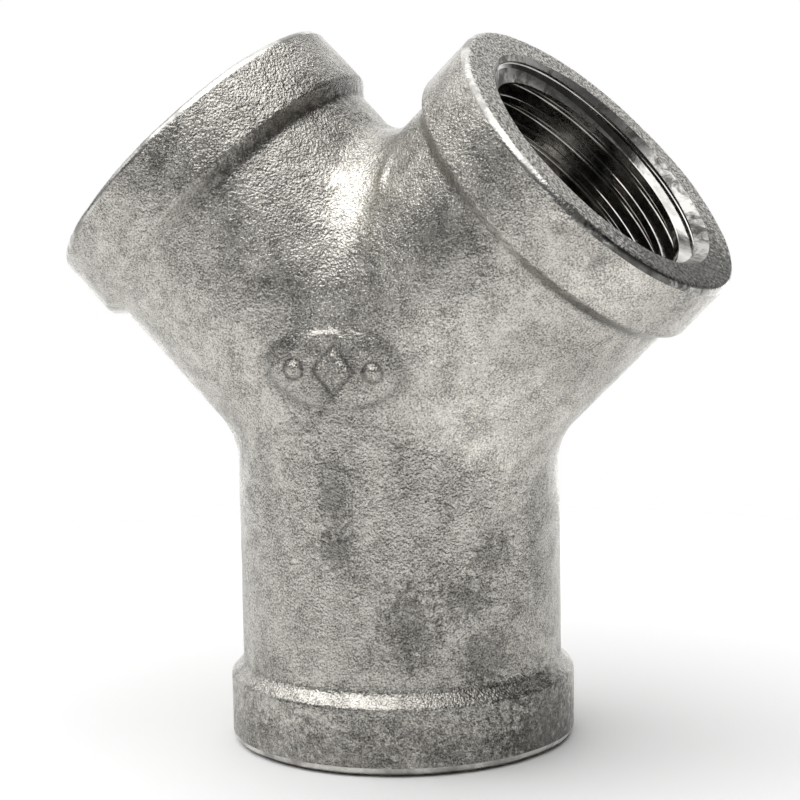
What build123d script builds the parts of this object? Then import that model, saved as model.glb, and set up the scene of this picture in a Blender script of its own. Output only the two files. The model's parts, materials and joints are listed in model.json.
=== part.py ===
"""A true wye pipe fitting, nominal 1/2 inch: one casting with three female threaded ports.

One stem points down and two branches leave the junction at 45 degrees on either side of it.
Each port has a plain band round its mouth, a chamfered mouth and a parallel pipe thread.
The origin is the centre of the stem's end face, +Z runs up the stem and both branches lie in XZ.
"""

from build123d import *

import os
from math import cos, radians, sin, tan

# Outer skin, mm
TUBE_RADIUS = 12.55
BAND_RADIUS = 13.5
BAND_LENGTH = 5.25
BAND_RIM_ROUND = 0.35
BAND_SHOULDER_ROUND = 0.5
BAND_FOOT_ROUND = 0.6
STEM_REACH = 28.7
STEM_TILT = 180.0
BRANCH_REACH = 24.05
BRANCH_TILT = 45.0
ELBOW_ROUND = 5.0
CROTCH_ROUND = 3.0

# Waterway, and the pipe thread: 14 turns to the inch with 55 degree flanks
WATERWAY_RADIUS = 8.9
THREAD_PITCH = 25.4 / 14
THREAD_MAJOR_RADIUS = 20.955 / 2
THREAD_MINOR_RADIUS = 18.631 / 2
THREAD_ROOT_FLAT = THREAD_PITCH / 6
THREAD_HALF_ANGLE = 27.5
THREAD_TURNS = 7
FIRST_GROOVE_DEPTH = 0.6
DRILL_DEPTH = 13.6
MOUTH_RADIUS = 10.83
MOUTH_CONE_ANGLE = 90

# Oval pad on the front, sunk into the skin, with a lozenge between two round pips
PAD_HALF_WIDTH = 5.45
PAD_HALF_HEIGHT = 3.0
PAD_THICKNESS = 1.2
PAD_RISE = 0.3
PAD_EDGE_ROUND = 0.2
PAD_HEIGHT_ABOVE_JUNCTION = 2.0
MARK_RISE = 0.25
LOZENGE_HALF_WIDTH = 1.5
LOZENGE_HALF_HEIGHT = 1.7
PIP_RADIUS = 0.65
PIP_OFFSET = 3.2

JUNCTION = Vector(0, 0, STEM_REACH)
SAME_SIZE = 0.01


def port_plane(tilt_from_up, reach):
    """The plane of a port's end face, with z pointing out of the port."""
    outward = Vector(sin(radians(tilt_from_up)), 0, cos(radians(tilt_from_up)))
    return Plane(origin=JUNCTION + outward * reach, x_dir=(0, 1, 0), z_dir=outward)


def axial_plane(port):
    """A plane that holds a port's axis: x is the radius and y points out of the port."""
    return Plane(origin=port.origin, x_dir=port.x_dir, z_dir=-port.y_dir)


def on_port_circle(edge, radius, height):
    """Whether a circular edge has this radius and stands at this height above some port's end face."""
    heights = [port.to_local_coords(edge.arc_center).Z for port in PORT_REACHES]
    return abs(edge.radius - radius) < SAME_SIZE and min(abs(h - height) for h in heights) < SAME_SIZE


PORT_REACHES = {
    port_plane(STEM_TILT, STEM_REACH): STEM_REACH,
    port_plane(BRANCH_TILT, BRANCH_REACH): BRANCH_REACH,
    port_plane(-BRANCH_TILT, BRANCH_REACH): BRANCH_REACH,
}
SHOULDER_FOOT = BAND_LENGTH + BAND_RADIUS - TUBE_RADIUS
THREAD_DEPTH = THREAD_MAJOR_RADIUS - THREAD_MINOR_RADIUS
GROOVE_WIDTH = THREAD_ROOT_FLAT + 2 * THREAD_DEPTH * tan(radians(THREAD_HALF_ANGLE))

with BuildPart() as wye_body:
    # Three equal tubes meet at the junction
    for port, reach in PORT_REACHES.items():
        with BuildSketch(port):
            Circle(TUBE_RADIUS)
        extrude(amount=-reach)

    # The casting's blends: wide at the two elbows, tighter in the crotch between the branches
    seams = wye_body.edges().filter_by(GeomType.ELLIPSE)
    fillet(seams.filter_by(lambda seam: seam.center().Z < STEM_REACH), ELBOW_ROUND)
    seams = wye_body.edges().filter_by(GeomType.ELLIPSE)
    fillet(seams.filter_by(lambda seam: seam.center().Z > STEM_REACH), CROTCH_ROUND)

    # A band round each mouth, with a shoulder that slopes down to the tube at 45 degrees
    for port in PORT_REACHES:
        with BuildSketch(axial_plane(port)):
            with BuildLine():
                Polyline(
                    (0, 0),
                    (BAND_RADIUS, 0),
                    (BAND_RADIUS, -BAND_LENGTH),
                    (TUBE_RADIUS, -SHOULDER_FOOT),
                    (0, -SHOULDER_FOOT),
                    close=True,
                )
            make_face()
        revolve(axis=Axis(port.origin, port.z_dir))
    for radius, height, rounding in (
        (BAND_RADIUS, 0, BAND_RIM_ROUND),
        (BAND_RADIUS, -BAND_LENGTH, BAND_SHOULDER_ROUND),
        (TUBE_RADIUS, -SHOULDER_FOOT, BAND_FOOT_ROUND),
    ):
        circles = wye_body.edges().filter_by(GeomType.CIRCLE)
        fillet(circles.filter_by(lambda edge: on_port_circle(edge, radius, height)), rounding)

    # Oval pad on the front, then its three raised marks
    pad_face = Plane(
        origin=(0, -TUBE_RADIUS - PAD_RISE, STEM_REACH + PAD_HEIGHT_ABOVE_JUNCTION),
        x_dir=(1, 0, 0),
        z_dir=(0, -1, 0),
    )
    with BuildSketch(pad_face):
        Ellipse(PAD_HALF_WIDTH, PAD_HALF_HEIGHT)
    extrude(amount=-PAD_THICKNESS)
    pad = wye_body.faces().filter_by(GeomType.PLANE).sort_by(Axis.Y).first
    fillet(pad.edges(), PAD_EDGE_ROUND)
    with BuildSketch(pad_face):
        Polygon(
            (LOZENGE_HALF_WIDTH, 0),
            (0, LOZENGE_HALF_HEIGHT),
            (-LOZENGE_HALF_WIDTH, 0),
            (0, -LOZENGE_HALF_HEIGHT),
        )
        with Locations((-PIP_OFFSET, 0), (PIP_OFFSET, 0)):
            Circle(PIP_RADIUS)
    extrude(amount=MARK_RISE)

    # Cast waterway through all three ports, then a drilled and chamfered mouth in each
    for port, reach in PORT_REACHES.items():
        with BuildSketch(port):
            Circle(WATERWAY_RADIUS)
        extrude(amount=-reach, mode=Mode.SUBTRACT)
    with Locations(*PORT_REACHES):
        CounterSinkHole(THREAD_MINOR_RADIUS, MOUTH_RADIUS, depth=DRILL_DEPTH, counter_sink_angle=MOUTH_CONE_ANGLE)

    # The thread's grooves, as rings one pitch apart
    for port in PORT_REACHES:
        with BuildSketch(axial_plane(port)):
            groove_depths = [FIRST_GROOVE_DEPTH + turn * THREAD_PITCH for turn in range(THREAD_TURNS)]
            with Locations(*[(THREAD_MAJOR_RADIUS, -depth) for depth in groove_depths]):
                Trapezoid(
                    GROOVE_WIDTH,
                    THREAD_DEPTH,
                    90 - THREAD_HALF_ANGLE,
                    rotation=-90,
                    align=(Align.CENTER, Align.MAX),
                )
        revolve(axis=Axis(port.origin, port.z_dir), mode=Mode.SUBTRACT)

os.makedirs("parts", exist_ok=True)
wye_body.part.label = "wye_body"
export_step(wye_body.part, "parts/wye_body.step")
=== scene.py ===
"""Looks of a cast stainless true wye pipe fitting: one casting with three threaded ports.

Lengths are millimetres, in the CAD's frame, and become metres when a mesh or a material is made.
"""

import json
import math

import bmesh
import bpy
import numpy as np
from mathutils import Matrix, Vector, noise


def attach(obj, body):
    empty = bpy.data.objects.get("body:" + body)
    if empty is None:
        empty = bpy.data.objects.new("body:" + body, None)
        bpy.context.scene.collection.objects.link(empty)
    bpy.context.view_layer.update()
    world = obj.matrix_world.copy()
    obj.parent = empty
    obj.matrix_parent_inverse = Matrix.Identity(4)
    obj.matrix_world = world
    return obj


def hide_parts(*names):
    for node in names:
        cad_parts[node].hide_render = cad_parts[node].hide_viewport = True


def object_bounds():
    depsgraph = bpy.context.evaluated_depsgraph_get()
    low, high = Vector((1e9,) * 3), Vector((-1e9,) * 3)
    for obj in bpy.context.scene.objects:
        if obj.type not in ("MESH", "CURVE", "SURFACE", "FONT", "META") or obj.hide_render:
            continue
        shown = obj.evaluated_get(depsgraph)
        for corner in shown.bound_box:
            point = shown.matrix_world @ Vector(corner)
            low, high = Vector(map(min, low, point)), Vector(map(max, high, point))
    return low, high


MM = 0.001

# Outer skin. The crotch's round grows by a share of itself towards the front and back. An end's
# profile starts on plain tube, before the foot of the shoulder, and its face runs in past the mouth
TUBE_RADIUS = 12.55
BAND_LENGTH = 5.25
RIM_ROUND = 0.65
SHOULDER_ROUND = 0.55
FOOT_ROUND = 0.7
ELBOW_ROUND = 5.5
CROTCH_ROUND = 2.8
CROTCH_WIDENING = 0.5
PLAIN_BEFORE_FOOT = 0.4
FACE_PAST_MOUTH = 0.3

# Inside. Ends are depths behind the end face, and the cutters run out past that face
WATERWAY_RADIUS = 8.9
WATERWAY_ROUND = 0.8
WATERWAY_PLAIN_FROM = 13.8
WATERWAY_PAST_FACE = 2.0
MOUTH_RADIUS = 10.83
CONE_DEPTH = 2.6
CONE_PAST_FACE = 1.0
THREAD_PITCH = 25.4 / 14
THREAD_DEPTH = 0.64 * THREAD_PITCH
THREAD_END = 12.6
RUNOUT_LENGTH = 1.4
DRILL_END = 13.6
DRILL_POINT = 14.6
DRILL_POINT_CLEAR = 0.4

# The screw that cuts a thread starts a turn deeper than the drill's point and runs out past the end face
SCREW_TURNS = DRILL_POINT / THREAD_PITCH + 3.5
SCREW_CORE_RADIUS = 4.0

# Where each leg's thread starts, in turns
THREAD_STARTS = (0.1, 0.94, 0.6)

# One pitch of the thread: (share of the pitch, share of the depth from crest to root)
THREAD_SHAPE = (
    (0.15, 0.0),
    (0.19, 0.06),
    (0.41, 0.94),
    (0.46, 1.0),
    (0.54, 1.0),
    (0.59, 0.94),
    (0.81, 0.06),
    (0.85, 0.0),
)

# Pad on the front. It is let into the skin a little, and falls away outside its outline
PAD_HALF_WIDTH = 5.25
PAD_HALF_HEIGHT = 2.9
PAD_ABOVE_JUNCTION = 2.1
PAD_RISE = 0.3
PAD_LET_IN = 0.03
PAD_FALL = 0.12
PAD_MARGIN = 1.0
PAD_BACK = 0.8 * TUBE_RADIUS

# Width of the pad's edge: crisp in one place at the top, and worn soft elsewhere
CRISP_MIDDLE = -0.7
CRISP_HALF = 1.2
CRISP_EDGE = 0.35
SOFT_EDGE_LOW = 0.7
SOFT_EDGE_HIGH = 1.6

# Domed marks on the pad: a lozenge between two round pips
MARK_RISE = 0.36
MARK_DOME = 0.5
LOZENGE_HALF_WIDTH = 1.5
LOZENGE_HALF_HEIGHT = 1.7
LOZENGE_SLANT = 0.7
PIP_RADIUS = 0.65
PIP_OFFSET = 3.2

# Relief of the as-cast skin: (size of the lumps, height, seed). It is sunk, to stay in the CAD's box
RELIEF = (
    (7.0, 0.05, 3.1),
    (2.4, 0.03, 8.2),
    (1.0, 0.012, 5.7),
)
RELIEF_SUNK = 0.06

# Casting flaws on the skin: (place, size, height), with a height below zero for a pit
FLAWS = (
    ((2.45, -6.95, 45.9), 0.5, 0.2),
    ((2.42, -7.5, 45.3), 0.5, 0.22),
    ((2.38, -8.05, 44.7), 0.5, 0.22),
    ((2.34, -8.55, 44.1), 0.5, 0.16),
    ((18.0, -13.3, 43.3), 0.65, 0.16),
    ((18.8, -13.0, 42.5), 0.65, 0.26),
    ((19.6, -12.7, 41.7), 0.65, 0.26),
    ((20.4, -11.7, 39.4), 0.65, -0.3),
    ((3.5, -13.0, 1.8), 0.6, -0.25),
    ((-2.1, 0.0, 48.6), 0.6, 0.15),
)

# Patches on the skin: real stains, and painted highlights and painted shade where the light falls
# brighter or darker: (place, reach along X, Y and Z, what the tone is multiplied by)
STAINS_AND_PAINTED_LIGHT = (
    # Stains down the middle of the stem and on its lower right
    ((-0.3, -12.6, 21.0), (1.5, 3.0, 4.6), 0.62),
    ((-0.1, -12.5, 17.2), (1.9, 3.0, 2.2), 0.62),
    ((10.2, -7.3, 16.3), (2.0, 2.8, 2.2), 0.62),
    ((8.9, -8.8, 13.3), (2.4, 3.0, 2.0), 0.58),
    ((5.2, -11.4, 11.2), (2.6, 3.0, 3.8), 0.58),
    ((9.8, -7.6, 8.4), (2.4, 3.4, 3.0), 0.6),
    # Painted shade: the bottom band, darker at its right end, and under the right branch's shoulder by
    # the crotch
    ((0.0, 0.0, 0.0), (30.0, 30.0, 5.6), 0.58),
    ((13.5, -3.0, 2.0), (5.0, 7.0, 5.5), 0.55),
    ((9.0, -12.0, 41.5), (5.0, 4.0, 4.5), 0.82),
    # Painted highlights and painted reflections of the lit floor, on the stem, in the crotch's valley and
    # on both branches
    ((11.0, -6.5, 27.0), (6.5, 8.0, 5.5), 1.4),
    ((-0.5, -8.2, 42.6), (2.4, 4.0, 5.0), 1.5),
    ((21.0, -10.0, 37.3), (4.5, 4.0, 3.0), 1.25),
    ((-7.0, -5.4, 53.0), (4.0, 4.0, 3.0), 1.35),
    ((8.4, -12.4, 34.1), (4.0, 4.0, 3.0), 1.25),
    # Painted shade down the stem's left and right sides
    ((-11.3, -5.5, 18.0), (3.0, 5.5, 13.0), 0.82),
    ((12.5, 0.0, 18.0), (3.0, 6.0, 12.0), 0.85),
    # Darker over the lower left of the pad
    ((-2.5, -12.8, 28.6), (2.8, 2.0, 2.2), 0.78),
    # Painted highlight and painted shadow on a lump by the right port's rim, and painted shade in a pit
    ((18.6, -13.1, 42.9), (1.5, 1.1, 1.0), 1.3),
    ((18.3, -13.1, 42.0), (1.3, 1.1, 0.6), 0.7),
    ((20.4, -11.7, 39.4), (0.9, 0.9, 0.7), 0.6),
)

# The same for the end faces, the rims and the turned mouths. The rims' patch is painted shade on the
# lower front of the right port's rim
FACE_DARK_PATCHES = (((25.0, -3.0, 37.6), (9.0, 14.0, 8.0), 0.36),)
RIM_PAINTED_SHADE = (((22.3, -9.5, 38.3), (6.4, 8.5, 6.0), 0.25),)
CHAMFER_STAINS = (
    ((22.1, 6.3, 39.7), (1.8, 2.2, 1.8), 0.5),
    ((23.8, -0.2, 38.1), (1.8, 2.4, 1.8), 0.5),
    ((16.4, 10.2, 45.5), (1.9, 1.9, 1.9), 0.5),
)

# A patch's ragged edge: the size of the rags, and their greatest depth as a share of the patch's reach
RAG_SIZE = 0.5
RAG_DEPTH = 2.5

# Painted shade in the crease at the foot of a branch's shoulder, at a depth behind its end face. It fades
# in up the left branch, and thins at one height on the right branch. Heights are above the junction
SHOULDER_MIDDLE = 5.85
SHOULDER_HALF = 0.6
SHOULDER_INNER_RADIUS = TUBE_RADIUS - 0.5
LEFT_SHADE_FROM = 10.5
LEFT_SHADE_RAMP = 6.0
RIGHT_SHADE = 0.45
RIGHT_GAP = 0.3
RIGHT_GAP_MIDDLE = 12.4
RIGHT_GAP_HALF = 1.8

# Painted shade round the foot of the raised marks and round the pad, at a distance outside each outline
MARK_SHADE = 0.9
MARK_SHADE_MIDDLE = 0.12
MARK_SHADE_HALF = 0.15
PAD_SHADE = 0.4
PAD_SHADE_MIDDLE = 0.1
PAD_SHADE_HALF = 0.35

# Mesh density, and the angle in degrees above which an edge is sharp
SKIN_COLUMNS = 192
SKIN_RINGS = 44
BORE_COLUMNS = 96
BORE_RINGS = 24
SCREW_COLUMNS = 112
PAD_GRID = 0.09
RAY_HALVINGS = 36
WELD = 0.005
SHARP_ANGLE = 38

# Table top
FLOOR_RADIUS = 85.0
FLOOR_SIDES = 96
FLOOR_DROP = 0.1

# The camera is aimed at the junction. Angles are in degrees, azimuth from the front towards the right
CAMERA_AZIMUTH = 22.2
CAMERA_ELEVATION = 9.6
CAMERA_ROLL = -1.1
CAMERA_DISTANCE = 262.9
CAMERA_LENS = 152.3
CAMERA_SENSOR = 36
CAMERA_SHIFT = (0.0034, -0.036)

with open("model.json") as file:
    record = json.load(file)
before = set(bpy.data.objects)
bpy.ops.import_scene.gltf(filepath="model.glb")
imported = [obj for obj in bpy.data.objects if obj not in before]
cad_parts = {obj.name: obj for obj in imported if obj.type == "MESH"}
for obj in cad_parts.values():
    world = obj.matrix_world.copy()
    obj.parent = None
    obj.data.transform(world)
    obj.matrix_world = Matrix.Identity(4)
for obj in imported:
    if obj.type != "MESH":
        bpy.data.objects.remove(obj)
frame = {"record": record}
cad_low, cad_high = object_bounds()
mounts = {mount["name"]: mount for mount in frame["record"]["mounts"]}
BAND_RADIUS = (cad_high.y - cad_low.y) / 2 / MM
THREAD_MINOR = mounts["stem_port"]["dims"]["r_mm"]


# ---------------------------------------------------------------- layout

def mount_line(name):
    """A mount's point and axis."""
    mount = mounts[name]
    return np.array(mount["pos_m"]) / MM, np.array(mount["axis"])


def find_junction():
    """Where the right branch's axis crosses the stem's."""
    point, axis = mount_line("right_branch_port")
    return point - axis * point[0] / axis[0]


JUNCTION = find_junction()
ACROSS = np.array([0.0, 1.0, 0.0])


class Leg:
    """One tube of the wye, from the junction out to its end face."""

    def __init__(self, name):
        face_point, self.axis = mount_line(name + "_face")
        self.reach = float((face_point - JUNCTION) @ self.axis)
        self.side = np.cross(ACROSS, self.axis)

    def half_angle(self, other):
        """Half the angle between this leg and another."""
        return math.acos(np.clip(self.axis @ other.axis, -1, 1)) / 2

    def at(self, depth):
        """The point on the axis at a depth behind the end face."""
        return JUNCTION + (self.reach - depth) * self.axis

    def spokes(self, angles):
        """Unit vectors out of the axis, one for each angle round it."""
        return np.cos(angles)[:, None] * ACROSS + np.sin(angles)[:, None] * self.side

    def depth_and_radius(self, places):
        """How far places lie behind the end face, and how far from the axis."""
        offset = places - JUNCTION
        along = offset @ self.axis
        return self.reach - along, np.linalg.norm(offset - along[:, None] * self.axis, axis=1)


STEM, RIGHT, LEFT = Leg("stem"), Leg("right_branch"), Leg("left_branch")
LEGS = (STEM, RIGHT, LEFT)


def circle_angles(count):
    """Equal steps once round a circle."""
    return np.arange(count) * 2 * math.pi / count


# ---------------------------------------------------------------- blended skin

def from_leg(points, leg, radius):
    """Distance outside a leg's tube, and the direction away from its axis."""
    offset = points - JUNCTION
    along = np.clip(offset @ leg.axis, 0, None)
    away = offset - along[:, None] * leg.axis
    length = np.linalg.norm(away, axis=1)
    return length - radius, away / np.maximum(length, 1e-9)[:, None]


def rolled(a, b, facing, rounding):
    """Union of two surfaces with a rolling-ball fillet. facing is the cosine between their normals."""
    u, v = rounding - a, rounding - b
    sine_squared = np.maximum(1 - facing**2, 1e-4)
    reach = np.sqrt(np.maximum(u * u + v * v - 2 * u * v * facing, 0) / sine_squared)
    in_corner = (u > v * facing) & (v > u * facing) & (u > 0) & (v > 0)
    plain = np.minimum(a, b)
    return np.where(in_corner, np.maximum(rounding - reach, plain - rounding), plain)


def outside(points, radius, elbow, crotch):
    """Signed distance outside three tubes that are blended where they meet."""
    crotch = crotch * (1 + CROTCH_WIDENING * np.clip(np.abs(points[:, 1]) / radius, 0, 1))
    stem, stem_out = from_leg(points, STEM, radius)
    right, right_out = from_leg(points, RIGHT, radius)
    left, left_out = from_leg(points, LEFT, radius)

    def facing(p, q):
        return np.einsum("ij,ij->i", p, q)

    return np.minimum.reduce([
        rolled(stem, right, facing(stem_out, right_out), elbow),
        rolled(stem, left, facing(stem_out, left_out), elbow),
        rolled(left, right, facing(left_out, right_out), crotch),
    ])


def outside_casting(points):
    """Signed distance outside the cast tubes."""
    return outside(points, TUBE_RADIUS, ELBOW_ROUND, CROTCH_ROUND)


def outside_waterway(points):
    """Signed distance outside the cored waterway."""
    return outside(points, WATERWAY_RADIUS, WATERWAY_ROUND, WATERWAY_ROUND)


def cast_rays(starts, directions, surface, longest):
    """Distance along each ray from inside a surface to where it comes out."""
    near, far = np.zeros(len(starts)), np.full(len(starts), float(longest))
    for _ in range(RAY_HALVINGS):
        middle = (near + far) / 2
        inside = surface(starts + directions * middle[:, None]) < 0
        near, far = np.where(inside, middle, near), np.where(inside, far, middle)
    return (near + far) / 2


# ---------------------------------------------------------------- mesh building

def closed_mesh(name, points, faces):
    """A mesh in metres, with doubled points welded and all normals outwards."""
    mesh = bpy.data.meshes.new(name)
    mesh.from_pydata([tuple(float(c) * MM for c in point) for point in points], [], faces)
    bm = bmesh.new()
    bm.from_mesh(mesh)
    bmesh.ops.remove_doubles(bm, verts=bm.verts, dist=WELD * MM)
    bmesh.ops.delete(bm, geom=[v for v in bm.verts if not v.link_faces], context="VERTS")
    bmesh.ops.recalc_face_normals(bm, faces=bm.faces)
    bm.to_mesh(mesh)
    bm.free()
    return mesh


class Shell:
    """Collects rings of points and the faces between them."""

    def __init__(self):
        self.points, self.faces = [], []

    def ring(self, points):
        """Adds a ring of points and returns their numbers."""
        first = len(self.points)
        self.points.extend(points)
        return list(range(first, len(self.points)))

    def join(self, a, b):
        """Quads between two closed rings of the same length."""
        for i in range(len(a)):
            k = (i + 1) % len(a)
            self.faces.append((a[i], a[k], b[k], b[i]))

    def cap(self, ring, centre):
        """Triangles from a closed ring to one point."""
        tip = self.ring([centre])[0]
        for i in range(len(ring)):
            self.faces.append((ring[i], ring[(i + 1) % len(ring)], tip))

    def to_mesh(self, name):
        """The closed mesh of all that was collected."""
        return closed_mesh(name, self.points, self.faces)


def seam_ring(leg, angles, surface, radius):
    """Where a leg's surface crosses the planes half way to its neighbours.

    Gives the distance along the leg and the distance from its axis, for each angle.
    """
    others = [other for other in LEGS if other is not leg]
    towards = [float(other.axis @ leg.side) for other in others]
    slope_ahead = 1 / math.tan(leg.half_angle(others[int(np.argmax(towards))]))
    slope_behind = 1 / math.tan(leg.half_angle(others[int(np.argmin(towards))]))
    sine = np.sin(angles)
    along = np.abs(sine) * np.where(sine >= 0, slope_ahead, slope_behind)
    rays = along[:, None] * leg.axis + leg.spokes(angles)
    size = np.linalg.norm(rays, axis=1)
    starts = np.tile(JUNCTION, (len(angles), 1))
    hit = cast_rays(starts, rays / size[:, None], surface, 3 * radius) / size
    return along * hit, hit


def add_leg(shell, leg, surface, columns, rings, profile):
    """One leg: rings from the junction's seam to the plain tube, then the rings of its end profile.

    profile is a list of (depth behind the end face, radius), starting where the tube is plain.
    """
    angles = circle_angles(columns)
    spokes = leg.spokes(angles)
    plain_depth, plain_radius = profile[0]
    seam_along, seam_radius = seam_ring(leg, angles, surface, plain_radius)
    previous = None
    for step in range(rings + 1):
        along = seam_along + (leg.reach - plain_depth - seam_along) * step / rings
        starts = JUNCTION + along[:, None] * leg.axis
        size = seam_radius if step == 0 else cast_rays(starts, spokes, surface, 2 * plain_radius)
        ring = shell.ring(starts + size[:, None] * spokes)
        if previous:
            shell.join(previous, ring)
        previous = ring
    for depth, radius in profile[1:]:
        ring = shell.ring(leg.at(depth) + radius * spokes)
        shell.join(previous, ring)
        previous = ring
    shell.cap(previous, leg.at(profile[-1][0]))


def arc(centre, radius, start, stop, steps):
    """Points on an arc of the end profile; angles in degrees from straight out of the tube's axis."""
    turns = np.radians(np.linspace(start, stop, steps))
    return [(centre[0] + radius * math.sin(a), centre[1] + radius * math.cos(a)) for a in turns]


# ---------------------------------------------------------------- the casting's solids

def band_profile():
    """The plain tube's end, the sloping shoulder, the band, its rounded rim and the end face."""
    foot = BAND_LENGTH + BAND_RADIUS - TUBE_RADIUS
    foot_run = FOOT_ROUND * math.tan(math.pi / 8)
    shoulder_run = SHOULDER_ROUND * math.tan(math.pi / 8)
    profile = [(foot + foot_run + PLAIN_BEFORE_FOOT, TUBE_RADIUS)]
    profile += arc((foot + foot_run, TUBE_RADIUS + FOOT_ROUND), FOOT_ROUND, 180, 225, 5)
    profile += arc((BAND_LENGTH - shoulder_run, BAND_RADIUS - SHOULDER_ROUND), SHOULDER_ROUND, 45, 0, 5)
    band_depths = np.linspace(BAND_LENGTH - shoulder_run, RIM_ROUND, 13)[1:-1]
    profile += [(depth, BAND_RADIUS) for depth in band_depths]
    profile += arc((RIM_ROUND, BAND_RADIUS - RIM_ROUND), RIM_ROUND, 0, -90, 7)
    face_radii = np.linspace(BAND_RADIUS - RIM_ROUND, MOUTH_RADIUS - FACE_PAST_MOUTH, 9)[1:]
    return profile + [(0.0, radius) for radius in face_radii]


def make_skin():
    """The closed outer skin of the whole casting, before anything is bored out of it."""
    shell = Shell()
    profile = band_profile()
    for leg in LEGS:
        add_leg(shell, leg, outside_casting, SKIN_COLUMNS, SKIN_RINGS, profile)
    return shell.to_mesh("skin")


def make_waterway():
    """The cored inside, run out past all three end faces."""
    shell = Shell()
    profile = [(WATERWAY_PLAIN_FROM, WATERWAY_RADIUS), (-WATERWAY_PAST_FACE, WATERWAY_RADIUS)]
    for leg in LEGS:
        add_leg(shell, leg, outside_waterway, BORE_COLUMNS, BORE_RINGS, profile)
    return shell.to_mesh("waterway")


def ease(x):
    """A smooth step from 0 to 1."""
    x = min(max(x, 0.0), 1.0)
    return x * x * (3 - 2 * x)


def screw_radius(depth, depth_share):
    """The screw's radius: the thread, which fades out at its inner end, and then the drill's point."""
    fade = ease((THREAD_END - depth) / RUNOUT_LENGTH)
    radius = THREAD_MINOR + THREAD_DEPTH * depth_share * fade
    if depth > DRILL_END:
        taper = (THREAD_MINOR - WATERWAY_RADIUS + DRILL_POINT_CLEAR) / (DRILL_POINT - DRILL_END)
        radius -= (depth - DRILL_END) * taper
    return max(radius, SCREW_CORE_RADIUS)


def join_turns(shell, grid, per_pitch):
    """Quads between a screw's rows. The end of each row meets the start of the row one pitch on."""
    for row in range(len(grid) - per_pitch - 1):
        inner = grid[row] + [grid[row + per_pitch][0]]
        outer = grid[row + 1] + [grid[row + 1 + per_pitch][0]]
        for k in range(len(inner) - 1):
            shell.faces.append((inner[k], outer[k], outer[k + 1], inner[k + 1]))


def make_screw(leg, start_turn):
    """The space that the tap and drill take out of one port: a right-hand screw with a conical point."""
    shell = Shell()
    per_pitch = len(THREAD_SHAPE)
    rows = int(SCREW_TURNS * per_pitch)
    deepest = DRILL_POINT + THREAD_PITCH
    swings = np.arange(SCREW_COLUMNS) / SCREW_COLUMNS
    spokes = leg.spokes(-2 * math.pi * (swings + start_turn))
    grid = []
    for row in range(rows + per_pitch + 1):
        share, depth_share = THREAD_SHAPE[row % per_pitch]
        depths = deepest - (row // per_pitch + share + swings) * THREAD_PITCH
        radii = [screw_radius(depth, depth_share) for depth in depths]
        ring = [leg.at(depth) + radius * spoke for depth, radius, spoke in zip(depths, radii, spokes)]
        grid.append(shell.ring(ring))
    join_turns(shell, grid, per_pitch)
    for row in (0, rows):
        step = [grid[row + rise][0] for rise in range(per_pitch, 0, -1)]
        shell.cap(grid[row] + step, leg.at(deepest - (row / per_pitch + 0.5) * THREAD_PITCH))
    return shell.to_mesh("screw")


def make_mouth_cone(leg):
    """The chamfer cutter for one mouth, at 45 degrees."""
    shell = Shell()
    spokes = leg.spokes(circle_angles(SCREW_COLUMNS))
    rings, tips = [], []
    for height in (-CONE_DEPTH, CONE_PAST_FACE):
        tips.append(leg.at(-height))
        rings.append(shell.ring(tips[-1] + (MOUTH_RADIUS + height) * spokes))
    shell.join(*rings)
    for ring, tip in zip(rings, tips):
        shell.cap(ring, tip)
    return shell.to_mesh("mouth_cone")


# ---------------------------------------------------------------- surface relief

def cast_relief(point):
    """How far the as-cast skin stands off its true shape at a point."""
    place = Vector(point)
    relief = -RELIEF_SUNK
    for size, height, seed in RELIEF:
        relief += height * noise.noise(place / size + Vector((seed, seed * 1.7, -seed)))
    for flaw, size, height in FLAWS:
        relief += height * math.exp(-((place - Vector(flaw)).length / size) ** 2)
    return relief


def roughen(mesh):
    """Moves every point of the skin along its normal by the relief there."""
    normals = [vertex.normal.copy() for vertex in mesh.vertices]
    for vertex, normal in zip(mesh.vertices, normals):
        vertex.co += normal * cast_relief(vertex.co / MM) * MM


def soft_edge(distance, width):
    """1 inside an outline, falling to 0 outside it across a width."""
    t = np.clip(0.5 - distance / width, 0, 1)
    return t * t * (3 - 2 * t)


def hill(x, middle, half_width, power=2):
    """1 at the middle, falling smoothly to 0 on both sides; a higher power gives a flatter top."""
    return np.exp(-(((x - middle) / half_width) ** power))


# ---------------------------------------------------------------- pad and marks

def pad_distance(x, z):
    """Distance outside the pad's oval outline; x and z are from the pad's centre."""
    return (np.hypot(x / PAD_HALF_WIDTH, z / PAD_HALF_HEIGHT) - 1) * PAD_HALF_HEIGHT


def mark_distance(x, z):
    """Distance outside the nearest of the three marks."""
    lozenge = np.abs(x) / LOZENGE_HALF_WIDTH + np.abs(z) / LOZENGE_HALF_HEIGHT - 1
    pips = np.hypot(np.abs(x) - PIP_OFFSET, z) - PIP_RADIUS
    return np.minimum(lozenge * LOZENGE_HALF_WIDTH * LOZENGE_SLANT, pips)


def crisp_top(x, z):
    """1 where the pad's edge is crisp and has no painted shade, at its top left, and 0 away from there.
    """
    return hill(x, CRISP_MIDDLE, CRISP_HALF, 4) * (z > 0)


def pad_height(x, z):
    """Height of the pad and its marks above the tubes' skin."""
    outwards = pad_distance(x, z)
    edge = SOFT_EDGE_LOW + (SOFT_EDGE_HIGH - SOFT_EDGE_LOW) * np.clip(z, 0, 1)
    edge = edge + (CRISP_EDGE - edge) * crisp_top(x, z)
    height = PAD_RISE * soft_edge(outwards, edge) - PAD_LET_IN - PAD_FALL * np.clip(outwards, 0, None)
    return height + MARK_RISE * soft_edge(mark_distance(x, z) + MARK_DOME / 4, MARK_DOME)


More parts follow.
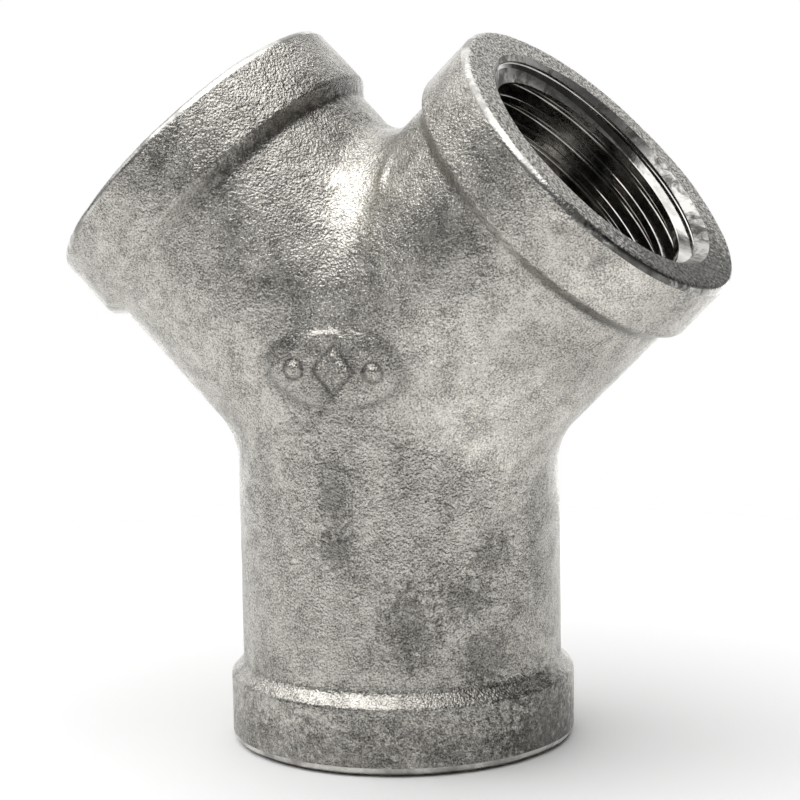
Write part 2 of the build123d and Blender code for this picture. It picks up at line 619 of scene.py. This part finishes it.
def grid_faces(columns, rows, first):
    """Quads over a grid of points, given the number of its first point."""
    corners = [first + row * columns + column for row in range(rows - 1) for column in range(columns - 1)]
    return [(a, a + 1, a + 1 + columns, a + columns) for a in corners]


def grid_rim(columns, rows):
    """The numbers of a grid's outermost points, in order round it."""
    bottom = list(range(columns))
    right = [row * columns + columns - 1 for row in range(1, rows)]
    top = [(rows - 1) * columns + column for column in range(columns - 2, -1, -1)]
    left = [row * columns for row in range(rows - 2, 0, -1)]
    return bottom + right + top + left


def make_pad():
    """A thin closed slab whose front is the skin raised by the pad, for joining to the casting."""
    half_width, half_height = PAD_HALF_WIDTH + PAD_MARGIN, PAD_HALF_HEIGHT + PAD_MARGIN
    columns, rows = int(2 * half_width / PAD_GRID), int(2 * half_height / PAD_GRID)
    across = np.linspace(-half_width, half_width, columns)
    upwards = np.linspace(-half_height, half_height, rows)
    x, z = (grid.ravel() for grid in np.meshgrid(across, upwards))
    starts = JUNCTION + np.stack([x, np.zeros_like(x), z + PAD_ABOVE_JUNCTION], axis=1)
    forward = np.tile(-ACROSS, (len(x), 1))
    reach = cast_rays(starts, forward, outside_casting, 2 * TUBE_RADIUS) + pad_height(x, z)
    front = starts + reach[:, None] * forward
    front[:, 1] -= [cast_relief(point) for point in front]
    back = starts + PAD_BACK * forward
    faces = grid_faces(columns, rows, 0) + grid_faces(columns, rows, len(x))
    rim = grid_rim(columns, rows)
    faces += [(a, b, b + len(x), a + len(x)) for a, b in zip(rim, rim[1:] + rim[:1])]
    return closed_mesh("pad", np.vstack([front, back]), faces)


# ---------------------------------------------------------------- materials

class Nodes:
    """A new material's node tree, with short calls for the nodes used here."""

    def __init__(self, name, metallic=1.0):
        self.material = bpy.data.materials.new(name)
        self.material.use_nodes = True
        self.tree = self.material.node_tree
        self.shader = self.tree.nodes["Principled BSDF"]
        self.shader.inputs["Metallic"].default_value = metallic
        self.place = self.tree.nodes.new("ShaderNodeTexCoord").outputs["Object"]

    def feed(self, socket, value):
        """Gives a socket its value: a number, a colour or another node's output."""
        if isinstance(value, bpy.types.NodeSocket):
            self.tree.links.new(value, socket)
        else:
            socket.default_value = (*value, 1) if isinstance(value, tuple) else value

    def noise(self, size, detail=2.0, roughness=0.5, distortion=0.0):
        """Noise with lumps about size millimetres across."""
        node = self.tree.nodes.new("ShaderNodeTexNoise")
        node.inputs["Scale"].default_value = 1 / (size * MM)
        node.inputs["Detail"].default_value = detail
        node.inputs["Roughness"].default_value = roughness
        node.inputs["Distortion"].default_value = distortion
        self.feed(node.inputs["Vector"], self.place)
        return node.outputs["Fac"]

    def ramp(self, source, *stops):
        """A colour ramp; each stop is (position, grey or colour)."""
        node = self.tree.nodes.new("ShaderNodeValToRGB")
        elements = node.color_ramp.elements
        while len(elements) < len(stops):
            elements.new(0.5)
        for element, (position, tone) in zip(elements, stops):
            element.position = position
            element.color = (*tone, 1) if isinstance(tone, tuple) else (tone, tone, tone, 1)
        self.feed(node.inputs["Fac"], source)
        return node.outputs["Color"]

    def mix(self, kind, factor, a, b):
        """Two colours mixed; factor, a and b are each a number, a colour or an output."""
        node = self.tree.nodes.new("ShaderNodeMix")
        node.data_type = "RGBA"
        node.blend_type = kind
        for number, value in ((0, factor), (6, a), (7, b)):
            self.feed(node.inputs[number], value)
        return node.outputs[2]

    def math(self, operation, a, b):
        """A sum; a and b are each a number or an output."""
        node = self.tree.nodes.new("ShaderNodeMath")
        node.operation = operation
        self.feed(node.inputs[0], a)
        self.feed(node.inputs[1], b)
        return node.outputs[0]

    def attribute(self, name):
        """A number stored on the mesh."""
        node = self.tree.nodes.new("ShaderNodeAttribute")
        node.attribute_name = name
        return node.outputs["Fac"]

    def vector(self, operation, a, b=(0.0, 0.0, 0.0)):
        """A vector sum; a is an output and b is in millimetres."""
        node = self.tree.nodes.new("ShaderNodeVectorMath")
        node.operation = operation
        self.feed(node.inputs[0], a)
        node.inputs[1].default_value = [c * MM for c in b]
        return node.outputs["Value" if operation == "LENGTH" else "Vector"]

    def patched(self, tone, patches):
        """A tone with ragged patches: (place, reach along X, Y and Z, what multiplies the tone)."""
        for place, size, factor in patches:
            apart = self.vector("DIVIDE", self.vector("SUBTRACT", self.place, place), size)
            centred = self.math("SUBTRACT", self.noise(RAG_SIZE, 3, 0.75), 0.5)
            rags = self.math("MULTIPLY", centred, RAG_DEPTH)
            outwards = self.math("ADD", self.vector("LENGTH", apart), rags)
            away = self.ramp(outwards, (0.5, 0.0), (1.0, 1.0))
            tone = self.mix("MULTIPLY", 1.0, tone, self.mix("MIX", away, (factor,) * 3, (1.0,) * 3))
        return tone

    def bump(self, height, depth, under=None, strength=1.0):
        """A bump whose full height range is depth millimetres, on top of another one if there is one."""
        node = self.tree.nodes.new("ShaderNodeBump")
        node.inputs["Distance"].default_value = depth * MM
        self.feed(node.inputs["Strength"], strength)
        self.feed(node.inputs["Height"], height)
        if under is not None:
            self.feed(node.inputs["Normal"], under)
        return node.outputs["Normal"]

    def finish(self, tone, roughness, normal=None):
        """Gives the shader its colour, roughness and bump, and returns the material."""
        self.feed(self.shader.inputs["Base Color"], tone)
        self.feed(self.shader.inputs["Roughness"], roughness)
        if normal is not None:
            self.feed(self.shader.inputs["Normal"], normal)
        return self.material


def cast_skin_material():
    """As-cast, blasted stainless: warm grey and grainy, with clumps of dark grains, a few stains, painted
    highlights, and painted shade that darkens it towards near black.
    """
    n = Nodes("cast_skin")
    clouds = n.math("MULTIPLY", n.noise(2.0, 5, 0.7), 0.42)
    grains = n.math("MULTIPLY", n.noise(0.13, 1), 0.58)
    tone = n.ramp(
        n.math("ADD", clouds, grains),
        (0.38, (0.2, 0.193, 0.178)),
        (0.49, (0.45, 0.433, 0.398)),
        (0.6, (0.66, 0.637, 0.59)),
    )
    # Stains, painted highlights and painted shade from the table of patches
    tone = n.patched(tone, STAINS_AND_PAINTED_LIGHT)
    # Painted shade: the tone is darkened towards near black by the shade stored on the mesh, broken up by
    # speckle
    speckle = n.ramp(n.noise(0.8, 4, 0.7), (0.35, 0.55), (0.6, 1.0))
    shade_amount = n.math("MULTIPLY", n.attribute("painted_shade"), speckle)
    tone = n.mix("MIX", shade_amount, tone, (0.07, 0.067, 0.062))
    roughness = n.ramp(n.noise(1.2, 3), (0.3, 0.27), (0.7, 0.38))
    peel = n.bump(n.noise(0.6, 2, 0.5), 0.09)
    coarseness = n.ramp(n.noise(7, 2), (0.4, 0.45), (0.6, 1.0))
    return n.finish(tone, roughness, n.bump(n.noise(0.19, 2, 0.5), 0.13, peel, coarseness))


def rubbed_rim_material():
    """The rounded rims, rubbed brighter and smoother in patches, with painted shade on the lower front of
    the right port's rim.
    """
    n = Nodes("rubbed_rim")
    rubbed = n.noise(3.2, 4, 0.6)
    tone = n.ramp(rubbed, (0.4, (0.34, 0.332, 0.315)), (0.55, (0.68, 0.666, 0.633)))
    roughness = n.ramp(rubbed, (0.4, 0.42), (0.55, 0.27))
    return n.finish(n.patched(tone, RIM_PAINTED_SHADE), roughness, n.bump(n.noise(0.3, 2, 0.5), 0.04))


def end_face_material():
    """The rough, darker end face, darker still over the lower part of the right port's face."""
    n = Nodes("end_face")
    tone = n.ramp(n.noise(0.19, 1), (0.38, (0.19, 0.185, 0.172)), (0.62, (0.82, 0.8, 0.755)))
    roughness = n.ramp(n.noise(0.8, 2), (0.3, 0.5), (0.7, 0.65))
    return n.finish(n.patched(tone, FACE_DARK_PATCHES), roughness, n.bump(n.noise(0.26, 2), 0.12))


def machined_material():
    """Cut threads: smooth and shiny with cutting oil, and unevenly so."""
    n = Nodes("machined")
    tone = n.ramp(n.noise(1.5, 3), (0.35, (0.36, 0.352, 0.335)), (0.65, (0.62, 0.607, 0.58)))
    roughness = n.ramp(n.noise(0.9, 3), (0.3, 0.08), (0.7, 0.17))
    return n.finish(tone, roughness, n.bump(n.noise(0.5, 2), 0.012))


def chamfer_material():
    """The turned mouth: bright, with darker pits and scuffs."""
    n = Nodes("chamfer")
    scuffs = n.noise(1.4, 4, 0.7, 0.6)
    tone = n.ramp(scuffs, (0.42, (0.16, 0.156, 0.147)), (0.56, (0.5, 0.49, 0.47)))
    roughness = n.ramp(scuffs, (0.4, 0.55), (0.58, 0.34))
    return n.finish(n.patched(tone, CHAMFER_STAINS), roughness, n.bump(n.noise(0.5, 3), 0.02))


def waterway_material():
    """The dull, dark cored inside."""
    n = Nodes("waterway")
    tone = n.ramp(n.noise(0.9, 3), (0.3, (0.05, 0.048, 0.045)), (0.7, (0.12, 0.117, 0.11)))
    return n.finish(tone, 0.6, n.bump(n.noise(0.5, 3), 0.06))


def floor_material():
    """Plain matt white, very slightly uneven."""
    n = Nodes("floor_white", metallic=0.0)
    return n.finish(n.ramp(n.noise(60), (0.3, 0.9), (0.7, 0.92)), 0.8)


# ---------------------------------------------------------------- putting the casting together

def as_object(name, data):
    """A new object in the scene, made of this mesh or camera."""
    obj = bpy.data.objects.new(name, data)
    bpy.context.scene.collection.objects.link(obj)
    return obj


def carve(body, tool_mesh, material, operation="DIFFERENCE"):
    """Applies one boolean to the body; the cut faces take the material given."""
    tool_mesh.materials.append(material)
    tool = as_object("tool", tool_mesh)
    cut = body.modifiers.new("cut", "BOOLEAN")
    cut.operation = operation
    cut.object = tool
    cut.solver = "MANIFOLD"
    cut.material_mode = "TRANSFER"
    evaluated = body.evaluated_get(bpy.context.evaluated_depsgraph_get())
    result = bpy.data.meshes.new_from_object(evaluated)
    body.modifiers.clear()
    body.data = result
    bpy.data.objects.remove(tool)


def paint_ends(mesh, rim_material, face_material):
    """Gives the rounded rims and the flat end faces their own materials, in place of the skin's."""
    skin, rim, face = 0, len(mesh.materials), len(mesh.materials) + 1
    mesh.materials.append(rim_material)
    mesh.materials.append(face_material)
    centres = np.array([polygon.center for polygon in mesh.polygons]) / MM
    normals = np.array([polygon.normal for polygon in mesh.polygons])
    slots = np.array([polygon.material_index for polygon in mesh.polygons])
    for leg in LEGS:
        depth, radius = leg.depth_and_radius(centres)
        at_end = (depth < RIM_ROUND) & (slots == skin)
        is_flat = (normals @ leg.axis > 0.9) & (radius < BAND_RADIUS - RIM_ROUND / 2)
        slots[at_end] = rim
        slots[at_end & is_flat] = face
    mesh.polygons.foreach_set("material_index", slots)


def shoulder_painted_shade(places):
    """How much painted shade lies at places in the creases at the feet of the two branches' shoulders."""
    above = places[:, 2] - JUNCTION[2]
    on_left = np.clip((above - LEFT_SHADE_FROM) / LEFT_SHADE_RAMP, 0, 1)
    on_right = RIGHT_SHADE - RIGHT_GAP * hill(above, RIGHT_GAP_MIDDLE, RIGHT_GAP_HALF)
    shade_amount = np.zeros(len(places))
    for leg, amount in ((LEFT, on_left), (RIGHT, on_right)):
        depth, radius = leg.depth_and_radius(places)
        near = hill(depth, SHOULDER_MIDDLE, SHOULDER_HALF, 4)
        shade_amount = np.maximum(shade_amount, np.where(radius > SHOULDER_INNER_RADIUS, amount * near, 0))
    return shade_amount


def pad_painted_shade(places):
    """How much painted shade lies at places round the marks, and round the pad except at its crisp top.
    """
    x, z = places[:, 0] - JUNCTION[0], places[:, 2] - JUNCTION[2] - PAD_ABOVE_JUNCTION
    round_marks = MARK_SHADE * hill(mark_distance(x, z), MARK_SHADE_MIDDLE, MARK_SHADE_HALF)
    round_pad = PAD_SHADE * hill(pad_distance(x, z), PAD_SHADE_MIDDLE, PAD_SHADE_HALF)
    shade_amount = np.maximum(round_marks, round_pad * (1 - crisp_top(x, z)))
    return np.where(places[:, 1] < -PAD_BACK, shade_amount, 0)


def add_painted_shade(mesh):
    """Stores how much painted shade lies at each point of the mesh."""
    places = np.empty(len(mesh.vertices) * 3)
    mesh.vertices.foreach_get("co", places)
    places = places.reshape(-1, 3) / MM
    painted_shade = np.maximum(shoulder_painted_shade(places), pad_painted_shade(places))
    mesh.attributes.new("painted_shade", "FLOAT", "POINT").data.foreach_set("value", painted_shade)


def make_casting():
    """The whole fitting: one closed mesh with six materials."""
    skin, rim, face = cast_skin_material(), rubbed_rim_material(), end_face_material()
    machined, chamfer, waterway = machined_material(), chamfer_material(), waterway_material()
    skin_mesh = make_skin()
    roughen(skin_mesh)
    skin_mesh.materials.append(skin)
    body = as_object("wye_casting", skin_mesh)
    carve(body, make_pad(), skin, "UNION")
    carve(body, make_waterway(), waterway)
    for leg, start_turn in zip(LEGS, THREAD_STARTS):
        carve(body, make_screw(leg, start_turn), machined)
        carve(body, make_mouth_cone(leg), chamfer)
    paint_ends(body.data, rim, face)
    add_painted_shade(body.data)
    body.data.shade_smooth()
    body.data.set_sharp_from_angle(angle=math.radians(SHARP_ANGLE))
    return body


# ---------------------------------------------------------------- studio

def make_floor():
    """A plain white round table top, bright enough to meet the white surroundings without an edge."""
    radius, height = FLOOR_RADIUS * MM, -FLOOR_DROP * MM
    mesh = bpy.data.meshes.new("floor")
    points = [(radius * math.cos(a), radius * math.sin(a), height) for a in circle_angles(FLOOR_SIDES)]
    mesh.from_pydata(points, [], [tuple(range(FLOOR_SIDES))])
    mesh.materials.append(floor_material())
    return as_object("floor", mesh)


def direction(azimuth, elevation):
    """A unit vector from the object; azimuth 0 is the front, 90 the right."""
    a, e = math.radians(azimuth), math.radians(elevation)
    return Vector((math.sin(a) * math.cos(e), -math.cos(a) * math.cos(e), math.sin(e)))


class Room:
    """The world round the object: white below, dim walls, and softly edged light panels on them."""

    def __init__(self, walls):
        world = bpy.data.worlds.new("studio")
        bpy.context.scene.world = world
        world.use_nodes = True
        self.tree = world.node_tree
        self.looking = self.tree.nodes.new("ShaderNodeTexCoord").outputs["Generated"]
        self.light = self.towards(0, 90, (-0.05, 1.0), (0.0, walls))

    def towards(self, azimuth, elevation, *stops):
        """A tone by the angle from this direction; the two stops are (cosine of the angle, tone)."""
        dot = self.tree.nodes.new("ShaderNodeVectorMath")
        dot.operation = "DOT_PRODUCT"
        self.tree.links.new(self.looking, dot.inputs[0])
        dot.inputs[1].default_value = direction(azimuth, elevation)
        spread = self.tree.nodes.new("ShaderNodeMapRange")
        spread.inputs["From Min"].default_value = -1
        self.tree.links.new(dot.outputs["Value"], spread.inputs["Value"])
        ramp = self.tree.nodes.new("ShaderNodeValToRGB")
        ramp.color_ramp.interpolation = "EASE"
        for element, (cosine, tone) in zip(ramp.color_ramp.elements, stops):
            element.position = (cosine + 1) / 2
            element.color = (tone, tone, tone, 1)
        self.tree.links.new(spread.outputs["Result"], ramp.inputs["Fac"])
        return ramp.outputs["Color"]

    def panel(self, azimuth, elevation, half_width, soft_edge, brightness):
        """Adds a round light panel; its sizes are angles in degrees."""
        outer, inner = (math.cos(math.radians(half_width + edge)) for edge in (soft_edge, -soft_edge))
        share = self.towards(azimuth, elevation, (outer, 0.0), (inner, 1.0))
        add = self.tree.nodes.new("ShaderNodeVectorMath")
        add.operation = "MULTIPLY_ADD"
        self.tree.links.new(share, add.inputs[0])
        add.inputs[1].default_value = (brightness,) * 3
        self.tree.links.new(self.light, add.inputs[2])
        self.light = add.outputs["Vector"]

    def finish(self):
        """The camera sees plain white; everything else sees the panels."""
        nodes = self.tree.nodes
        mix = nodes.new("ShaderNodeMixShader")
        self.tree.links.new(nodes.new("ShaderNodeLightPath").outputs["Is Camera Ray"], mix.inputs[0])
        panels, white = nodes.new("ShaderNodeBackground"), nodes.new("ShaderNodeBackground")
        self.tree.links.new(self.light, panels.inputs["Color"])
        white.inputs["Color"].default_value = (1, 1, 1, 1)
        for number, background in enumerate((panels, white), 1):
            self.tree.links.new(background.outputs["Background"], mix.inputs[number])
        self.tree.links.new(mix.outputs[0], nodes["World Output"].inputs["Surface"])


def light_studio():
    """A large softbox overhead, a smaller one on the left and a lit backdrop behind."""
    room = Room(walls=0.04)
    room.panel(azimuth=-30, elevation=78, half_width=42, soft_edge=4, brightness=2.1)
    room.panel(azimuth=-85, elevation=36, half_width=24, soft_edge=8, brightness=1.0)
    room.panel(azimuth=-160, elevation=12, half_width=38, soft_edge=10, brightness=1.25)
    room.finish()


def add_camera():
    """A long lens from the front right, a little above."""
    data = bpy.data.cameras.new("camera")
    camera = as_object("camera", data)
    away = direction(CAMERA_AZIMUTH, CAMERA_ELEVATION)
    camera.location = Vector(JUNCTION * MM) + away * CAMERA_DISTANCE * MM
    turn = away.to_track_quat("Z", "Y").to_matrix() @ Matrix.Rotation(math.radians(CAMERA_ROLL), 3, "Z")
    camera.rotation_euler = turn.to_euler()
    data.sensor_width = CAMERA_SENSOR
    data.lens = CAMERA_LENS
    data.shift_x, data.shift_y = CAMERA_SHIFT
    data.clip_start, data.clip_end = 0.01, 10
    bpy.context.scene.camera = camera


casting = make_casting()
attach(casting, "root")
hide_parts("wye_body")
floor = make_floor()
light_studio()
add_camera()
bpy.context.scene.view_settings.view_transform = "Standard"
